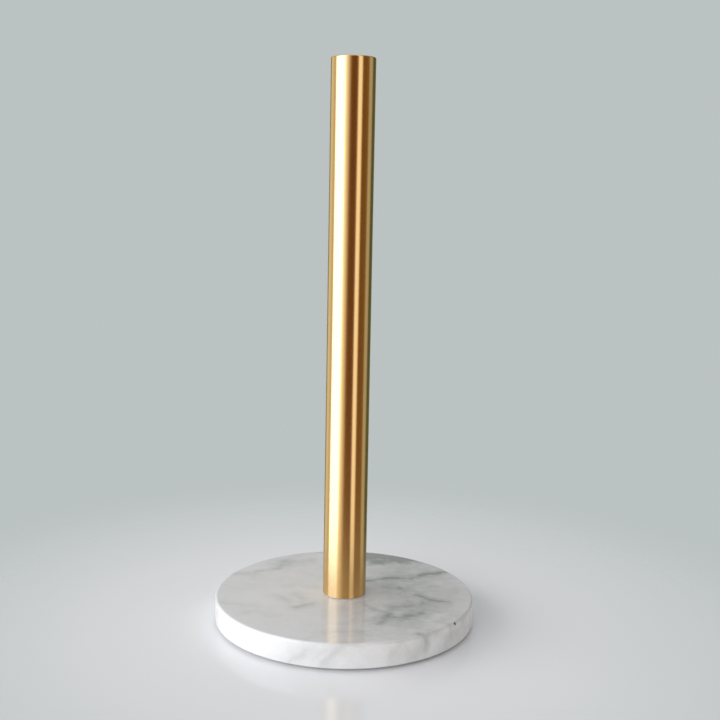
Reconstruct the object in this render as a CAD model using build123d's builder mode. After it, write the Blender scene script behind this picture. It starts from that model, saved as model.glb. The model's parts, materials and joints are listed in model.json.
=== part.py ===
"""Countertop paper towel holder: a brushed gold pole held on a round stone base by one screw.

Millimetres, +Z up. The origin is on the surface that the holder stands on, under the
middle of the pole. Every piece is drawn where it sits with the screw tight.
"""

import math
import os

from build123d import *

# Driving dimensions
total_height = 320.0
base_diameter = 150.0
base_thickness = 14.0
pole_diameter = 25.0
pole_wall = 1.0
pole_foot_edge = 0.2  # broken edge round the foot of the tube

# Stone base
base_top_edge = 1.5  # radius of the eased upper edge
base_bottom_edge = 1.0
screw_hole_diameter = 7.0
counterbore_diameter = 24.0
counterbore_depth = 8.5
counterbore_arris = 0.4  # chamfer round the counterbore's mouth

# Self-adhesive feet
foot_count = 4
foot_diameter = 12.0
foot_height = 1.5
foot_circle_radius = 60.0
foot_edge = 0.4

# Gasket between the pole and the stone
gasket_outer_diameter = 24.4
gasket_inner_diameter = 18.0
gasket_thickness = 0.5

# Cap that closes the top of the pole
cap_flange = 1.5
cap_edge = 0.8  # radius of the eased upper edge
cap_spigot_depth = 6.0
cap_wall = 1.0

# Threaded plug in the foot of the pole
plug_length = 12.0
plug_recess = 0.5  # the plug stops short of the tube's end, so that the tube bears on the gasket
plug_countersink_radius = 3.2

# M6 x 20 button head screw and the plug's matching thread
thread_pitch = 1.0
thread_pitch_radius = 2.675
thread_play = 0.06  # half the axial play between the screw and the plug
thread_angle = 60.0
screw_crest_radius = 2.92
screw_root_radius = 2.40
plug_crest_radius = 2.50
plug_root_radius = 3.02
cutter_overshoot = 0.09  # how far the groove's cutter stands out of the rod
screw_length = 20.0
screw_neck_length = 1.2
screw_neck_radius = 2.3
screw_tip_chamfer = 0.6
head_diameter = 10.5
head_height = 3.3
head_crown_diameter = 6.0
head_rim = 0.6
hex_across_flats = 4.0
hex_depth = 2.0

# Washers between the head and the stone
spring_washer_diameter = 11.8
spring_washer_bore = 6.2
spring_washer_thickness = 1.6
spring_washer_slit = 1.0
spring_washer_slit_angle = 20.0
flat_washer_diameter = 18.0
flat_washer_bore = 6.4
flat_washer_thickness = 1.6
rubber_washer_diameter = 20.0
rubber_washer_bore = 6.6
rubber_washer_thickness = 1.0
washer_edge = 0.2

# Heights worked out from the sizes above
base_bottom = foot_height
base_top = base_bottom + base_thickness
counterbore_top = base_bottom + counterbore_depth
rubber_washer_bottom = counterbore_top - rubber_washer_thickness
flat_washer_bottom = rubber_washer_bottom - flat_washer_thickness
head_top = flat_washer_bottom - spring_washer_thickness
head_bottom = head_top - head_height
screw_tip = head_top + screw_length
pole_bottom = base_top + gasket_thickness
pole_top = total_height - cap_flange
pole_bore = pole_diameter - 2 * pole_wall
plug_bottom = pole_bottom + plug_recess
plug_top = plug_bottom + plug_length


def groove_half_width(radius, play):
    """Half the axial width of a rod's thread groove at that radius."""
    outside_pitch = radius - thread_pitch_radius
    return thread_pitch / 4 + play / 2 + outside_pitch * math.tan(math.radians(thread_angle / 2))


def threaded_rod(root_radius, crest_radius, play, bottom, top, start):
    """A rod with a right-hand thread whose groove begins at the height start, on the +X side.

    The play is how much wider than half a pitch the groove is at the pitch radius.
    """
    mouth_radius = crest_radius + cutter_overshoot
    root_half = groove_half_width(root_radius, play)
    mouth_half = groove_half_width(mouth_radius, play)
    with BuildPart() as rod:
        with BuildSketch(Plane.XY.offset(bottom)):
            Circle(crest_radius)
        extrude(amount=top - bottom)
        with BuildLine() as path:
            Helix(thread_pitch, top - start + thread_pitch, thread_pitch_radius, center=(0, 0, start))
        with BuildSketch(Plane.XZ) as profile:
            with BuildLine():
                Polyline(
                    (root_radius, start - root_half),
                    (mouth_radius, start - mouth_half),
                    (mouth_radius, start + mouth_half),
                    (root_radius, start + root_half),
                    close=True,
                )
            make_face()
        sweep(profile.sketch, path.line, is_frenet=True, mode=Mode.SUBTRACT)
    return rod


def ring(outer_diameter, inner_diameter, thickness, bottom):
    """A plain flat ring round the Z axis."""
    with BuildPart() as flat_ring:
        with BuildSketch(Plane.XY.offset(bottom)):
            Circle(outer_diameter / 2)
            Circle(inner_diameter / 2, mode=Mode.SUBTRACT)
        extrude(amount=thickness)
    return flat_ring


def circles_of(piece, diameter, height):
    """The circular edges of that diameter at that height."""
    return piece.edges().filter_by(
        lambda edge: edge.geom_type == GeomType.CIRCLE
        and math.isclose(edge.radius, diameter / 2, abs_tol=1e-4)
        and math.isclose(edge.center().Z, height, abs_tol=1e-4)
    )


def save(piece, name):
    """Labels a finished piece and writes it as its own STEP file."""
    piece.part.label = name
    export_step(piece.part, f"parts/{name}.step")


os.makedirs("parts", exist_ok=True)

# Stone base: a disc with eased edges, a screw hole, and a counterbore from below.
with BuildPart() as marble_base:
    with BuildSketch(Plane.XY.offset(base_bottom)):
        Circle(base_diameter / 2)
    extrude(amount=base_thickness)
    fillet(circles_of(marble_base, base_diameter, base_top), base_top_edge)
    fillet(circles_of(marble_base, base_diameter, base_bottom), base_bottom_edge)
    with Locations(Plane.XY.offset(base_bottom).rotated((180, 0, 0))):
        CounterBoreHole(screw_hole_diameter / 2, counterbore_diameter / 2, counterbore_depth)
    chamfer(circles_of(marble_base, counterbore_diameter, base_bottom), counterbore_arris)
save(marble_base, "marble_base")

# Feet: soft discs stuck under the base, well in from its edge.
foot_spots = PolarLocations(foot_circle_radius, foot_count, start_angle=180 / foot_count)
for number, spot in enumerate(foot_spots, start=1):
    with BuildPart() as foot:
        with BuildSketch(Plane(spot.position)):
            Circle(foot_diameter / 2)
        extrude(amount=foot_height)
        fillet(foot.edges().group_by(Axis.Z)[0], foot_edge)
    save(foot, f"foot_{number}")

# Pole: a gasket on the stone, the tube, its cap, and the plug that the screw pulls on.
pole_gasket = ring(gasket_outer_diameter, gasket_inner_diameter, gasket_thickness, base_top)
save(pole_gasket, "pole_gasket")

with BuildPart() as pole_tube:
    with BuildSketch(Plane.XY.offset(pole_bottom)):
        Circle(pole_diameter / 2)
        Circle(pole_bore / 2, mode=Mode.SUBTRACT)
    extrude(amount=pole_top - pole_bottom)
    chamfer(circles_of(pole_tube, pole_diameter, pole_bottom), pole_foot_edge)
save(pole_tube, "pole_tube")

with BuildPart() as pole_cap:
    with BuildSketch(Plane.XY.offset(pole_top)):
        Circle(pole_diameter / 2)
    extrude(amount=cap_flange)
    fillet(circles_of(pole_cap, pole_diameter, total_height), cap_edge)
    with BuildSketch(Plane.XY.offset(pole_top)):
        Circle(pole_bore / 2)
        Circle(pole_bore / 2 - cap_wall, mode=Mode.SUBTRACT)
    extrude(amount=-cap_spigot_depth)
save(pole_cap, "pole_cap")

# The plug's thread is the space round a tap, which has the screw's thread made a little fatter,
# on the same helix: its groove starts a whole number of turns above the screw's.
screw_groove_start = head_top + screw_neck_length / 2
turns_up_to_plug = math.floor((plug_bottom - screw_groove_start) / thread_pitch)
tap = threaded_rod(
    plug_crest_radius,
    plug_root_radius,
    -thread_play,
    plug_bottom - thread_pitch,
    plug_top + thread_pitch,
    screw_groove_start + (turns_up_to_plug - 1) * thread_pitch,
)
with BuildPart() as threaded_plug:
    with BuildSketch(Plane.XY.offset(plug_bottom)):
        Circle(pole_bore / 2)
    extrude(amount=plug_length)
    add(tap.part, mode=Mode.SUBTRACT)
    with Locations(Plane.XY.offset(plug_top), Plane.XY.offset(plug_bottom).rotated((180, 0, 0))):
        CounterSinkHole(plug_crest_radius, plug_countersink_radius, plug_length / 2, counter_sink_angle=90)
save(threaded_plug, "threaded_plug")

# Screw: a domed head below, a relief neck, and a thread to the tip.
screw_thread = threaded_rod(
    screw_root_radius,
    screw_crest_radius,
    thread_play,
    head_top + screw_neck_length,
    screw_tip,
    screw_groove_start,
)
with BuildPart() as fixing_screw:
    add(screw_thread.part)
    with BuildSketch(Plane.XZ):
        with BuildLine():
            Polyline(
                (screw_crest_radius - screw_tip_chamfer, screw_tip),
                (screw_crest_radius + screw_tip_chamfer, screw_tip),
                (screw_crest_radius + screw_tip_chamfer, screw_tip - 2 * screw_tip_chamfer),
                close=True,
            )
        make_face()
    revolve(axis=Axis.Z, mode=Mode.SUBTRACT)
    with BuildSketch(Plane.XZ):
        with BuildLine():
            rim = Line((head_diameter / 2, head_top), (head_diameter / 2, head_top - head_rim))
            crown_edge = (head_crown_diameter / 2, head_bottom)
            TangentArc(rim @ 1, crown_edge, tangent=rim % 1)
            Polyline(
                crown_edge,
                (0, head_bottom),
                (0, head_top + screw_neck_length),
                (screw_neck_radius, head_top + screw_neck_length),
                (screw_neck_radius, head_top),
                rim @ 0,
            )
        make_face()
    revolve(axis=Axis.Z)
    with BuildSketch(Plane.XY.offset(head_bottom)):
        RegularPolygon(hex_across_flats / 2, 6, major_radius=False)
    extrude(amount=hex_depth, mode=Mode.SUBTRACT)
save(fixing_screw, "fixing_screw")

# Washers, from the head up to the stone.
with BuildPart() as spring_washer:
    with BuildSketch(Plane.XY.offset(head_top)):
        Circle(spring_washer_diameter / 2)
        Circle(spring_washer_bore / 2, mode=Mode.SUBTRACT)
    extrude(amount=spring_washer_thickness)
    slit_middle = (0, 0, head_top + spring_washer_thickness / 2)
    with BuildSketch(Plane(slit_middle, x_dir=(0, 1, 0), z_dir=(1, 0, 0))):
        Rectangle(spring_washer_slit, 2 * spring_washer_thickness, rotation=spring_washer_slit_angle)
    extrude(amount=spring_washer_diameter, mode=Mode.SUBTRACT)
save(spring_washer, "spring_washer")

with BuildPart() as flat_washer:
    with BuildSketch(Plane.XY.offset(flat_washer_bottom)):
        Circle(flat_washer_diameter / 2)
        Circle(flat_washer_bore / 2, mode=Mode.SUBTRACT)
    extrude(amount=flat_washer_thickness)
    chamfer(circles_of(flat_washer, flat_washer_diameter, flat_washer_bottom), washer_edge)
save(flat_washer, "flat_washer")

rubber_washer = ring(
    rubber_washer_diameter, rubber_washer_bore, rubber_washer_thickness, rubber_washer_bottom
)
save(rubber_washer, "rubber_washer")
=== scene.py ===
"""The looks of the paper towel holder: a brushed gold pole on a polished white marble base."""

import json
import math

import bpy
from mathutils import Matrix, Vector


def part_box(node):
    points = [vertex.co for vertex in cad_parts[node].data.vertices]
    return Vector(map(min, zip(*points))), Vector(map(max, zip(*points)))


MM = 0.001

# The camera: where it stands from the pole's axis, and how it is turned and zoomed.
CAMERA_DISTANCE = 0.620
CAMERA_HEIGHT = 0.2496
CAMERA_PITCH = math.radians(8.82)  # below the horizon
CAMERA_YAW = math.radians(0.61)  # to the right
CAMERA_ROLL = math.radians(1.11)
CAMERA_LENS = 55.3
CAMERA_SENSOR = 36.0

# The stage: a pale polished floor that fades into the backdrop's colour. It reaches less far
# for the shiny pieces, which would show nothing but floor in their lower halves. Under the base
# it is open, so that a view from below is lit.
FLOOR_RADIUS = 3.0
FLOOR_CORNERS = 96
FLOOR_FADE = (0.07, 0.32)
FLOOR_FADE_IN_GLOSS = (0.09, 0.15)
FLOOR_OPENING = (0.062, 0.066)
FLOOR_COLOUR = (0.96, 0.96, 0.965)
FLOOR_SHADE = 0.98  # how dark its faint clouds are
FLOOR_SHADE_SCALE = 3.0
FLOOR_ROUGHNESS = 0.12
BACKDROP_COLOUR = (0.50, 0.54, 0.54)

# What the shiny pieces see round them, as (bearing, colour). Bearings are in degrees: 0 is the
# camera's side, 90 the right, -90 the left, and 180 behind the holder.
SURROUNDINGS = [
    (-180, (0.54, 0.57, 0.57)),
    (-160, (0.52, 0.55, 0.54)),
    (-154, (0.16, 0.19, 0.12)),
    (-147, (0.16, 0.19, 0.12)),
    (-139, (0.76, 0.84, 0.84)),
    (-119, (0.78, 0.85, 0.86)),
    (-110, (0.56, 0.56, 0.54)),
    (-98, (0.66, 0.68, 0.72)),
    (-92, (2.60, 3.20, 5.20)),
    (-45, (2.60, 3.20, 5.20)),
    (-38, (1.35, 1.45, 1.60)),
    (-24, (0.80, 0.78, 0.80)),
    (-10, (0.19, 0.085, 0.02)),
    (0, (0.14, 0.05, 0.005)),
    (24, (0.14, 0.05, 0.005)),
    (30, (1.30, 1.32, 1.50)),
    (45, (1.30, 1.32, 1.50)),
    (51, (0.18, 0.09, 0.02)),
    (86, (0.18, 0.10, 0.02)),
    (94, (0.52, 0.54, 0.56)),
    (112, (0.50, 0.52, 0.52)),
    (120, (0.08, 0.12, 0.07)),
    (154, (0.09, 0.13, 0.09)),
    (160, (0.52, 0.55, 0.54)),
    (180, (0.54, 0.57, 0.57)),
]
CEILING = (0.80, 0.82, 0.84)
CEILING_FROM = (0.80, 0.95)  # how steeply upwards the ceiling begins, as the sine of the angle

# The soft light: a fill, stronger and warmer from low down, and a broad window to the left.
FILL_LIGHT = (0.375, 0.385, 0.40)
FILL_LIGHT_LOW = (1.42, 1.34, 1.32)
FILL_LOW = (0.0, 0.5)  # where the low fill gives way, as the sine of the angle upwards
FILL_FROM_BELOW = (0.42, 0.42, 0.43)
FILL_BELOW = (-0.50, -0.20)  # where the fill from below gives way
WINDOW_BEARING = math.radians(-68)
WINDOW_SPREAD = math.radians(62)
WINDOW_EVEN = 0.6  # the share of its spread over which it is evenly bright
WINDOW_FOOT = (-0.1, 0.1)
WINDOW_TOP = (0.45, 0.75)
WINDOW_LIGHT = (3.4, 3.42, 3.5)

# Grey veins in the stone, as (points, half width, strength), in millimetres from the pole's
# axis as seen from above. Each is a sheet that goes down through the stone.
VEINS = [
    ([(13, 19.5), (29, 25), (40, 24.5), (48, 31), (62, 37), (74, 40)], 2.9, 0.60),
    ([(24, 9), (33, 7.5)], 4.4, 0.40),
    ([(42, -3), (50, -10.5), (60, -13.5)], 2.6, 0.48),
    ([(19, -47), (24, -41), (34, -35), (43, -31)], 3.8, 0.50),
    ([(23, -40), (26, -27), (32, -21), (39, -20)], 4.0, 0.46),
    ([(38, -27), (45, -15)], 3.6, 0.30),
    ([(13, -21), (17, -27), (22, -29)], 3.6, 0.40),
    ([(40, -61), (45, -62)], 2.2, 0.55),
    ([(-54, 33), (-41, 38.5)], 3.4, 0.36),
    ([(-41, 38.5), (-39, 53)], 4.4, 0.24),
    ([(-70, 29), (-55, 30)], 3.0, 0.26),
    ([(-40, -8), (-31, -15)], 4.0, 0.24),
    ([(-27, -25), (-21, -20.5), (-17, -19)], 3.0, 0.42),
    ([(-29, -4), (-22, -14)], 4.4, 0.20),
]
# Soft grey clouds in the stone, in the same form. One of them is partly painted shade.
CLOUDS_AND_PAINTED_SHADE = [
    ([(16, 66), (38, 62)], 13.0, 1.45),
    ([(17, 56), (27, 55)], 9.0, 1.05),
    ([(26, 53), (27, 37)], 5.0, 0.34),
    # Partly the stone's own grey and partly painted shade: this broad cloud darkens the right half
    # of the top, standing in for the pole's shadow.
    ([(46, 45), (40, 0), (34, -34)], 40.0, 0.46),
    ([(66, 28), (73, 3)], 9.0, 0.26),
    ([(30, -22), (36, -40)], 10.0, 0.22),
    ([(8, -56), (12, -66)], 6.0, 0.26),
    ([(-40, 52), (-20, 54)], 8.0, 0.30),
    ([(-38, 67), (-16, 73)], 5.0, 0.30),
    ([(-68, -19), (-49, -24)], 5.0, 0.16),
    ([(-54, -32), (-34, -37)], 6.0, 0.14),
    ([(-60, 5), (-20, 20)], 14.0, 0.10),
]
# Marks on the stone's side, with z up from its lower face.
SIDE_MARKS = [
    ([(-28, -69, 2), (-19, -73, 8)], 3.2, 0.22),
    ([(-11, -74, 3), (-1, -75, 12)], 2.8, 0.26),
    ([(-16, -73, 4), (-9, -74, 10)], 2.0, 0.22),
    ([(24, -71, 6), (30, -69, 12)], 3.0, 0.22),
    ([(38, -65, 5), (45, -60, 11)], 4.0, 0.20),
    ([(58, -47, 6), (66, -36, 11)], 5.0, 0.22),
]
PIT = (61.2, -43.4, 13.3)
PIT_RADIUS = 0.95

STONE_WHITE = (0.79, 0.79, 0.785)
STONE_WARM = (0.75, 0.725, 0.70)
STONE_GREY = (0.235, 0.255, 0.225)
PIT_COLOUR = (0.02, 0.025, 0.02)
VEIN_DRIFT = (0.35, -0.25, 0.0)  # how far a vein moves sideways for each step down
CORE_SHARE = 0.48  # how much of a stroke's strength is in its core
HALO_REACH = 2.6  # how many half widths its halo reaches

# How the stone's own pattern is drawn. Scales are per millimetre, and reaches in millimetres.
SWEEP_SCALE = 0.022
SWEEP_REACH = 60.0
WRIGGLE_SCALE = 0.10
WRIGGLE_REACH = 5.0
RAGGED_REACH = 16.0  # how far the wriggle bends the placed clouds
PATTERN_STRETCH = (0.6, 1.5, 0.8)
CLOUD_SCALE = 0.040
CLOUD_RANGE = (0.44, 0.76)
CLOUD_STRENGTH = 0.17
THIN_VEIN_SCALE = 0.024
THIN_VEIN_WIDTH = 0.030
THIN_VEIN_STRENGTH = 0.12
PRESENCE_SCALE = 0.03
PRESENCE_RANGE = (0.50, 0.68)
MOTTLE_SCALE = 0.13
MOTTLE_RANGE = (0.32, 0.64)
MOTTLE_LEAST = 0.62
WARMTH_SCALE = 0.02
WARMTH_RANGE = (0.42, 0.72)
WARMTH_MOST = 0.7
GREY_MOST = 0.92
CRYSTAL_SCALE = 1.6
CRYSTAL_RANGE = (0.35, 0.65)
CRYSTAL_TINT = (0.97, 1.02)
PIT_EDGE = (0.5, 1.5)  # where the pit begins and ends to fade, in pit radii
STONE_ROUGHNESS = 0.10
VEIN_ROUGHNESS = 0.10  # added where the stone is grey
PIT_ROUGHNESS = 0.5
RIPPLE_SCALE = 0.35
RIPPLE_STRENGTH = 0.05
RIPPLE_HEIGHT = 0.4 * MM
STONE_IOR = 1.5

GOLD = (0.82, 0.52, 0.20)
GOLD_DEEP = (0.805, 0.505, 0.19)
HAIRLINE_STRETCH = (0.05, 0.05, 12.0)  # they run round the pole, so they are fine along it
GOLD_ROUGHNESS = (0.262, 0.272)
GOLD_ANISOTROPY = 0.96
QUARTER_TURN = 0.25
HAIRLINE_BUMP = 0.01
HAIRLINE_HEIGHT = 0.01 * MM

STEEL_DARK = (0.50, 0.52, 0.56)
STEEL_LIGHT = (0.74, 0.74, 0.73)
STEEL_ROUGHNESS = (0.22, 0.38)
SILICONE = ((0.62, 0.62, 0.60), (0.80, 0.80, 0.78))
GASKET = ((0.78, 0.78, 0.74), (0.88, 0.88, 0.85))
RUBBER = ((0.012, 0.012, 0.012), (0.035, 0.035, 0.035))
GRAIN_ROUGHNESS = 0.06  # how far the grain of a soft material moves its roughness


class Nodes:
    """A short way to write a node tree: each call adds a node and returns one of its outputs."""

    def __init__(self, tree):
        self.tree = tree

    def add(self, kind, inputs=None, output=0, **settings):
        node = self.tree.nodes.new(kind)
        for name, value in settings.items():
            setattr(node, name, value)
        for key, value in (inputs or {}).items():
            self.plug(value, node.inputs[key])
        return node.outputs[output]

    def plug(self, value, socket):
        if isinstance(value, bpy.types.NodeSocket):
            self.tree.links.new(value, socket)
        else:
            socket.default_value = value

    def math(self, operation, *values):
        return self.add("ShaderNodeMath", dict(enumerate(values)), operation=operation)

    def vector(self, operation, *values, output=0):
        inputs = dict(enumerate(values))
        return self.add("ShaderNodeVectorMath", inputs, output, operation=operation)

    def scale(self, vector, factor):
        return self.add("ShaderNodeVectorMath", {0: vector, "Scale": factor}, operation="SCALE")

    def noise(self, place, scale, detail=3.0, roughness=0.55, output=0):
        inputs = {"Vector": place, "Scale": scale, "Detail": detail, "Roughness": roughness}
        return self.add("ShaderNodeTexNoise", inputs, output)

    def remap(self, value, low, high, to_low=0.0, to_high=1.0):
        inputs = {
            "Value": value,
            "From Min": low,
            "From Max": high,
            "To Min": to_low,
            "To Max": to_high,
        }
        return self.add("ShaderNodeMapRange", inputs, interpolation_type="SMOOTHSTEP")

    def mix(self, factor, first, second):
        node = self.tree.nodes.new("ShaderNodeMix")
        node.data_type = "RGBA"
        self.plug(factor, node.inputs[0])
        for value, socket in ((first, node.inputs[6]), (second, node.inputs[7])):
            self.plug(value if isinstance(value, bpy.types.NodeSocket) else (*value, 1.0), socket)
        return node.outputs[2]

    def ramp(self, value, stops):
        node = self.tree.nodes.new("ShaderNodeValToRGB")
        self.plug(value, node.inputs[0])
        elements = node.color_ramp.elements
        while len(elements) < len(stops):
            elements.new(0.5)
        for element, (position, colour) in zip(elements, stops):
            element.position = position
            element.color = (*colour, 1.0)
        return node.outputs[0]


def new_material(name):
    """A material, its node helper, and its shader's inputs."""
    material = bpy.data.materials.new(name)
    material.use_nodes = True
    shader = material.node_tree.nodes["Principled BSDF"]
    return material, Nodes(material.node_tree), shader.inputs


def place_mm(nodes):
    """The point being shaded, in millimetres, in the object's own frame."""
    return nodes.scale(nodes.add("ShaderNodeTexCoord", output="Object"), 1 / MM)


def stroke_group():
    """A node group: the nearness to the line between two points, falling softly to 0.

    It is a strong core as wide as the half width says, in a wider halo.
    """
    group = bpy.data.node_groups.new("stroke", "ShaderNodeTree")
    kinds = {"Place": "Vector", "From": "Vector", "To": "Vector", "Half width": "Float"}
    for name, kind in kinds.items():
        group.interface.new_socket(name, in_out="INPUT", socket_type="NodeSocket" + kind)
    group.interface.new_socket("Mask", in_out="OUTPUT", socket_type="NodeSocketFloat")
    nodes = Nodes(group)
    source = group.nodes.new("NodeGroupInput").outputs
    along = nodes.vector("SUBTRACT", source["To"], source["From"])
    offset = nodes.vector("SUBTRACT", source["Place"], source["From"])
    share = nodes.math(
        "DIVIDE",
        nodes.vector("DOT_PRODUCT", offset, along, output=1),
        nodes.vector("DOT_PRODUCT", along, along, output=1),
    )
    share = nodes.add("ShaderNodeClamp", {"Value": share})
    gap = nodes.vector("SUBTRACT", offset, nodes.scale(along, share))
    distance = nodes.vector("LENGTH", gap, output=1)
    distance = nodes.math("DIVIDE", distance, source["Half width"])
    core = nodes.remap(distance, 0.0, 1.0, CORE_SHARE, 0.0)
    halo = nodes.remap(distance, 0.0, HALO_REACH, 1.0 - CORE_SHARE, 0.0)
    end = group.nodes.new("NodeGroupOutput")
    group.links.new(nodes.math("ADD", core, halo), end.inputs["Mask"])
    return group


def strokes(nodes, group, place, lines):
    """The strongest of a list of strokes at each point. A point with no height is at 0."""
    total = 0.0
    for points, half_width, strength in lines:
        for start, finish in zip(points, points[1:]):
            node = nodes.tree.nodes.new("ShaderNodeGroup")
            node.node_tree = group
            nodes.plug(place, node.inputs["Place"])
            node.inputs["From"].default_value = (*start, 0.0)[:3]
            node.inputs["To"].default_value = (*finish, 0.0)[:3]
            node.inputs["Half width"].default_value = half_width
            weighted = nodes.math("MULTIPLY", node.outputs["Mask"], strength)
            total = nodes.math("MAXIMUM", weighted, total)
    return total


def marble_material():
    """Polished white marble: clouds, branching grey veins, faint warm stains, and painted shade
    over the right half of the top.
    """
    material, nodes, shader = new_material("polished_marble")
    stone_bottom = Vector((0.0, 0.0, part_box("marble_base")[0].z / MM))
    stone_top = Vector((0.0, 0.0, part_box("marble_base")[1].z / MM))
    place = nodes.vector("SUBTRACT", place_mm(nodes), stone_bottom)

    # The stone's flow bends everything in it, first in large sweeps and then in small wriggles.
    middle = (0.5, 0.5, 0.5)
    sweep = nodes.noise(place, SWEEP_SCALE, 2.0, output=1)
    sweep = nodes.vector("SUBTRACT", sweep, middle)
    wriggle = nodes.noise(place, WRIGGLE_SCALE, 3.0, 0.5, output=1)
    wriggle = nodes.vector("SUBTRACT", wriggle, middle)
    near = nodes.vector("ADD", place, nodes.scale(wriggle, WRIGGLE_REACH))
    ragged = nodes.vector("ADD", place, nodes.scale(wriggle, RAGGED_REACH))
    flowing = nodes.vector("ADD", near, nodes.scale(sweep, SWEEP_REACH))

    # Clouds and a few faint natural veins all over.
    stretched = nodes.vector("MULTIPLY", flowing, PATTERN_STRETCH)
    clouds = nodes.remap(nodes.noise(stretched, CLOUD_SCALE, 6.0, 0.62), *CLOUD_RANGE)
    ridge = nodes.math("SUBTRACT", nodes.noise(stretched, THIN_VEIN_SCALE, 4.0, 0.5), 0.5)
    thin_veins = nodes.remap(nodes.math("ABSOLUTE", ridge), 0.0, THIN_VEIN_WIDTH, 1.0, 0.0)
    presence = nodes.remap(nodes.noise(place, PRESENCE_SCALE, 2.0), *PRESENCE_RANGE)
    thin_veins = nodes.math("MULTIPLY", thin_veins, presence)

    # The veins and clouds that have their own places; one broad cloud is partly painted shade. A
    # vein drifts sideways as it goes down.
    group = stroke_group()
    depth = nodes.vector("SUBTRACT", stone_top - stone_bottom, place)
    depth = nodes.add("ShaderNodeSeparateXYZ", {0: depth}, output=2)
    drift = nodes.scale(VEIN_DRIFT, depth)
    flat = nodes.vector("MULTIPLY", nodes.vector("ADD", near, drift), (1.0, 1.0, 0.0))
    flat_ragged = nodes.vector("MULTIPLY", nodes.vector("ADD", ragged, drift), (1.0, 1.0, 0.0))
    mottle = nodes.noise(place, MOTTLE_SCALE, 4.0, 0.6)
    mottle = nodes.remap(mottle, *MOTTLE_RANGE, MOTTLE_LEAST, 1.0)
    veins = strokes(nodes, group, flat, VEINS)
    # These clouds include painted shade over the right half of the top.
    soft_marks_and_painted_shade = strokes(nodes, group, flat_ragged, CLOUDS_AND_PAINTED_SHADE)
    side_marks = strokes(nodes, group, near, SIDE_MARKS)
    placed = nodes.math("ADD", nodes.math("MAXIMUM", veins, side_marks), soft_marks_and_painted_shade)
    placed = nodes.math("MULTIPLY", placed, mottle)

    clouds = nodes.math("MULTIPLY", clouds, CLOUD_STRENGTH)
    thin_veins = nodes.math("MULTIPLY", thin_veins, THIN_VEIN_STRENGTH)
    grey = nodes.math("ADD", nodes.math("ADD", clouds, thin_veins), placed)
    warmth = nodes.remap(nodes.noise(place, WARMTH_SCALE, 3.0), *WARMTH_RANGE, 0.0, WARMTH_MOST)
    white = nodes.mix(warmth, STONE_WHITE, STONE_WARM)
    colour = nodes.mix(nodes.math("MINIMUM", grey, GREY_MOST), white, STONE_GREY)

    # Fine crystals, and one small dark pit by the edge.
    crystals = nodes.noise(place, CRYSTAL_SCALE, 2.0)
    crystals = nodes.remap(crystals, *CRYSTAL_RANGE, *CRYSTAL_TINT)
    crystal_tint = nodes.add("ShaderNodeCombineXYZ", {0: crystals, 1: crystals, 2: crystals})
    colour = nodes.vector("MULTIPLY", colour, crystal_tint)
    pit_gap = nodes.vector("DISTANCE", place, PIT, output=1)
    pit_start, pit_end = (PIT_RADIUS * share for share in PIT_EDGE)
    pit = nodes.remap(pit_gap, pit_start, pit_end, 1.0, 0.0)
    nodes.plug(nodes.mix(pit, colour, PIT_COLOUR), shader["Base Color"])

    # A mirror polish that the veins and the crystals disturb a little.
    roughness = nodes.math("MULTIPLY", grey, VEIN_ROUGHNESS)
    roughness = nodes.math("ADD", roughness, STONE_ROUGHNESS)
    roughness = nodes.math("ADD", roughness, nodes.math("MULTIPLY", pit, PIT_ROUGHNESS))
    nodes.plug(roughness, shader["Roughness"])
    ripple = nodes.noise(place, RIPPLE_SCALE, 3.0)
    bump = {"Strength": RIPPLE_STRENGTH, "Distance": RIPPLE_HEIGHT, "Height": ripple}
    nodes.plug(nodes.add("ShaderNodeBump", bump), shader["Normal"])
    shader["IOR"].default_value = STONE_IOR
    return material


def gold_material():
    """Gold-coloured metal, finely brushed round the pole, so that its reflections run along it."""
    material, nodes, shader = new_material("brushed_gold")
    place = place_mm(nodes)
    hairlines = nodes.noise(nodes.vector("MULTIPLY", place, HAIRLINE_STRETCH), 1.0, 2.0, 0.6)
    nodes.plug(nodes.mix(nodes.remap(hairlines, 0.3, 0.7), GOLD_DEEP, GOLD), shader["Base Color"])
    nodes.plug(nodes.remap(hairlines, 0.25, 0.75, *GOLD_ROUGHNESS), shader["Roughness"])
    bump = {"Strength": HAIRLINE_BUMP, "Distance": HAIRLINE_HEIGHT, "Height": hairlines}
    nodes.plug(nodes.add("ShaderNodeBump", bump), shader["Normal"])
    tangent = nodes.add("ShaderNodeTangent", direction_type="RADIAL", axis="Z")
    nodes.plug(tangent, shader["Tangent"])
    shader["Metallic"].default_value = 1.0
    shader["Anisotropic"].default_value = GOLD_ANISOTROPY
    shader["Anisotropic Rotation"].default_value = QUARTER_TURN
    return material


def steel_material():
    """Bright zinc-plated steel with the faint mottle of plating."""
    material, nodes, shader = new_material("zinc_steel")
    place = place_mm(nodes)
    mottle = nodes.noise(place, 1.3, 4.0, 0.6)
    nodes.plug(nodes.mix(mottle, STEEL_DARK, STEEL_LIGHT), shader["Base Color"])
    nodes.plug(nodes.remap(mottle, 0.3, 0.7, *STEEL_ROUGHNESS), shader["Roughness"])
    bump = {"Strength": 0.15, "Distance": 0.03 * MM, "Height": nodes.noise(place, 6.0, 3.0)}
    nodes.plug(nodes.add("ShaderNodeBump", bump), shader["Normal"])
    shader["Metallic"].default_value = 1.0
    return material


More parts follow.
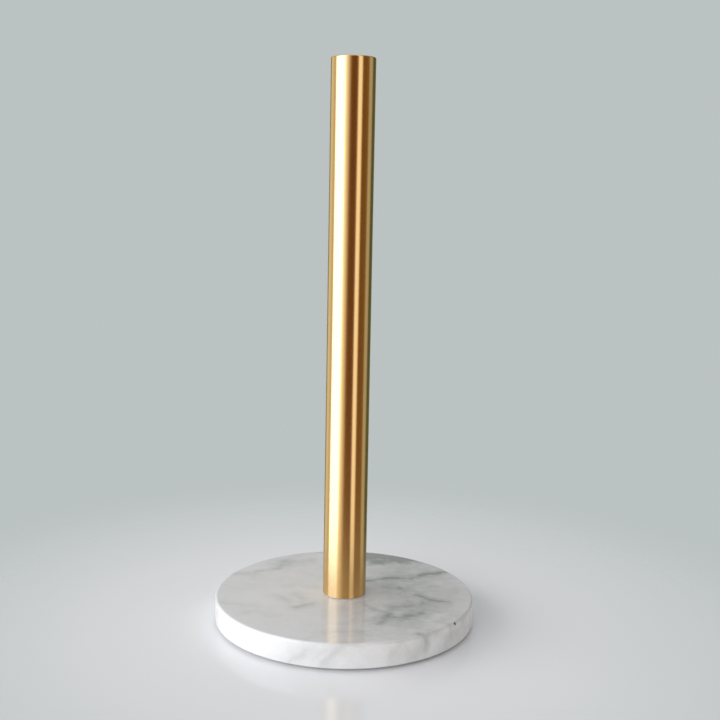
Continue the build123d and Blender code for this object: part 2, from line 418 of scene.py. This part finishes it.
def soft_material(name, dark, light, roughness, transmission=0.0, subsurface=0.0):
    """A rubbery material whose colour drifts between two tones, with a fine matt grain."""
    material, nodes, shader = new_material(name)
    place = place_mm(nodes)
    nodes.plug(nodes.mix(nodes.noise(place, 0.6, 4.0), dark, light), shader["Base Color"])
    grain = nodes.noise(place, 9.0, 2.0)
    smooth, rough = roughness - GRAIN_ROUGHNESS, roughness + GRAIN_ROUGHNESS
    nodes.plug(nodes.remap(grain, 0.3, 0.7, smooth, rough), shader["Roughness"])
    bump = {"Strength": 0.2, "Distance": 0.02 * MM, "Height": grain}
    nodes.plug(nodes.add("ShaderNodeBump", bump), shader["Normal"])
    shader["Transmission Weight"].default_value = transmission
    shader["Subsurface Weight"].default_value = subsurface
    shader["Subsurface Scale"].default_value = 2 * MM
    return material


def paint_pieces(nodes_by_name, subparts):
    """Gives every CAD node the material of its slot in the record."""
    finishes = {
        "marble": marble_material(),
        "brushed_gold": gold_material(),
        "zinc_steel": steel_material(),
        "foot_silicone": soft_material(
            "clear_silicone", *SILICONE, roughness=0.42, transmission=0.25, subsurface=0.3
        ),
        "clear_gasket": soft_material("clear_gasket", *GASKET, roughness=0.25, transmission=0.5),
        "black_rubber": soft_material("black_rubber", *RUBBER, roughness=0.7),
    }
    for part in subparts:
        for slot in nodes_by_name[part["node"]].material_slots:
            slot.material = finishes[part["material_slot"]]


def make_camera():
    """The camera, at the photograph's viewing angle."""
    data = bpy.data.cameras.new("camera")
    data.sensor_width = CAMERA_SENSOR
    data.lens = CAMERA_LENS
    data.clip_start = 0.01
    camera = bpy.data.objects.new("camera", data)
    bpy.context.scene.collection.objects.link(camera)
    turn = Matrix.Rotation(-CAMERA_YAW, 4, "Z")
    tilt = Matrix.Rotation(math.pi / 2 - CAMERA_PITCH, 4, "X")
    roll = Matrix.Rotation(CAMERA_ROLL, 4, "Z")
    place = Matrix.Translation((0, -CAMERA_DISTANCE, CAMERA_HEIGHT))
    camera.matrix_world = place @ turn @ tilt @ roll
    bpy.context.scene.camera = camera


def make_floor():
    """A pale polished floor that fades out with distance and can't be seen from below."""
    mesh = bpy.data.meshes.new("floor")
    bearings = [step * math.tau / FLOOR_CORNERS for step in range(FLOOR_CORNERS)]
    corners = [(FLOOR_RADIUS * math.cos(b), FLOOR_RADIUS * math.sin(b), 0) for b in bearings]
    mesh.from_pydata(corners, [], [tuple(range(FLOOR_CORNERS))])
    floor = bpy.data.objects.new("floor", mesh)
    bpy.context.scene.collection.objects.link(floor)
    material, nodes, shader = new_material("pale_floor")
    place = nodes.add("ShaderNodeTexCoord", output="Object")
    shade = nodes.noise(place, FLOOR_SHADE_SCALE, 2.0)
    shaded = [channel * FLOOR_SHADE for channel in FLOOR_COLOUR]
    nodes.plug(nodes.mix(shade, shaded, FLOOR_COLOUR), shader["Base Color"])
    shader["Roughness"].default_value = FLOOR_ROUGHNESS
    distance = nodes.vector("LENGTH", place, output=1)
    far = nodes.remap(distance, *FLOOR_FADE)
    far_in_gloss = nodes.remap(distance, *FLOOR_FADE_IN_GLOSS)
    gloss = nodes.add("ShaderNodeLightPath").node.outputs["Is Glossy Ray"]
    far = nodes.math("MAXIMUM", far, nodes.math("MULTIPLY", gloss, far_in_gloss))
    from_below = nodes.add("ShaderNodeNewGeometry", output="Backfacing")
    hidden = nodes.math("MAXIMUM", far, from_below)
    hidden = nodes.math("MAXIMUM", hidden, nodes.remap(distance, *FLOOR_OPENING, 1.0, 0.0))
    clear = nodes.add("ShaderNodeBsdfTransparent")
    solid = material.node_tree.nodes["Principled BSDF"].outputs[0]
    surface = nodes.add("ShaderNodeMixShader", {0: hidden, 1: solid, 2: clear})
    nodes.plug(surface, material.node_tree.nodes["Material Output"].inputs["Surface"])
    mesh.materials.append(material)


def make_light():
    """The world: a plain pale backdrop, soft light, and the surroundings that shiny pieces show."""
    world = bpy.data.worlds.new("studio")
    bpy.context.scene.world = world
    world.use_nodes = True
    world.node_tree.nodes.clear()
    nodes = Nodes(world.node_tree)
    direction = nodes.add("ShaderNodeTexCoord", output="Generated")
    split = nodes.add("ShaderNodeSeparateXYZ", {0: direction}).node.outputs
    bearing = nodes.math("ARCTAN2", split["X"], nodes.math("MULTIPLY", split["Y"], -1.0))
    turn = nodes.math("ADD", nodes.math("DIVIDE", bearing, math.tau), 0.5)
    brightest = max(max(colour) for _, colour in SURROUNDINGS)
    stops = [
        ((degrees + 180) / 360, [channel / brightest for channel in colour])
        for degrees, colour in SURROUNDINGS
    ]
    around = nodes.scale(nodes.ramp(turn, stops), brightest)
    shown = nodes.mix(nodes.remap(split["Z"], *CEILING_FROM), around, CEILING)

    from_window = nodes.math("ABSOLUTE", nodes.math("SUBTRACT", bearing, WINDOW_BEARING))
    window = nodes.remap(from_window, WINDOW_SPREAD * WINDOW_EVEN, WINDOW_SPREAD, 1.0, 0.0)
    below_top = nodes.remap(split["Z"], *WINDOW_TOP, 1.0, 0.0)
    above_foot = nodes.remap(split["Z"], *WINDOW_FOOT)
    window = nodes.math("MULTIPLY", window, nodes.math("MULTIPLY", below_top, above_foot))
    fill = nodes.mix(nodes.remap(split["Z"], *FILL_LOW), FILL_LIGHT_LOW, FILL_LIGHT)
    fill = nodes.mix(nodes.remap(split["Z"], *FILL_BELOW), FILL_FROM_BELOW, fill)
    soft = nodes.mix(window, fill, WINDOW_LIGHT)

    ray = nodes.add("ShaderNodeLightPath").node.outputs
    light = nodes.mix(ray["Is Glossy Ray"], soft, shown)
    light = nodes.mix(ray["Is Camera Ray"], light, BACKDROP_COLOUR)
    background = nodes.add("ShaderNodeBackground", {"Color": light, "Strength": 1.0})
    output = world.node_tree.nodes.new("ShaderNodeOutputWorld")
    nodes.plug(background, output.inputs["Surface"])


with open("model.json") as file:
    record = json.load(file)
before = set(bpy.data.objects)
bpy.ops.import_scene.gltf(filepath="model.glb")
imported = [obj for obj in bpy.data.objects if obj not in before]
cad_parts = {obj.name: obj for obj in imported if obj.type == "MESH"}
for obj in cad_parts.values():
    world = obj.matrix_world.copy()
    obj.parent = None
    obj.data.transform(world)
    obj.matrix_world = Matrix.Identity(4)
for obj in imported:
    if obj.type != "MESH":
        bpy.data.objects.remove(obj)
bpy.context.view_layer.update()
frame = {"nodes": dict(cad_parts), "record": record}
make_camera()
paint_pieces(frame["nodes"], frame["record"]["subparts"])
make_floor()
make_light()
bpy.context.scene.view_settings.view_transform = "Standard"
